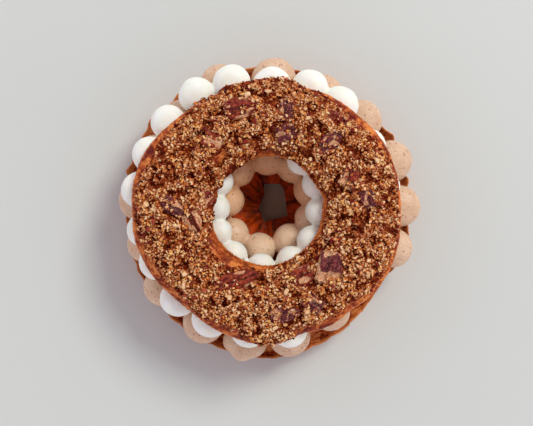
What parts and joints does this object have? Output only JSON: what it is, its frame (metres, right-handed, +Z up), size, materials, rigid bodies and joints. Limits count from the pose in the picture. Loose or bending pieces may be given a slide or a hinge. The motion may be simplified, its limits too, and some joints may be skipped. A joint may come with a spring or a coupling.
{
  "type": "paris brest pastry",
  "caption": "Ring of choux pastry split into base and lid, filled with two layers of piped cream balls, the domed lid topped with crushed nuts.",
  "frame": {"origin": "on the table, under the middle of the pastry's box", "axes": "+Z up through the hole of the ring, lid on top"},
  "size_m": [0.2006, 0.2034, 0.0831],
  "materials": {
    "choux": "baked, reddish brown, slightly glossy crust",
    "hazelnut_cream": "smooth pinkish beige cream with fine brown specks",
    "vanilla_cream": "smooth warm white cream",
    "pecan": "dark toasted nut skin with tan broken ends"
  },
  "bodies": {
    "root": {"base_choux": "choux", "hazelnut_cream": "hazelnut_cream", "vanilla_cream": "vanilla_cream", "lid_choux": "choux", "pecan_01": "pecan", "pecan_02": "pecan", "pecan_03": "pecan", "pecan_04": "pecan", "pecan_05": "pecan", "pecan_06": "pecan", "pecan_07": "pecan", "pecan_08": "pecan", "pecan_09": "pecan", "pecan_10": "pecan", "pecan_11": "pecan", "pecan_12": "pecan", "pecan_13": "pecan", "pecan_14": "pecan", "pecan_15": "pecan", "pecan_16": "pecan"}
  },
  "joints": []
}
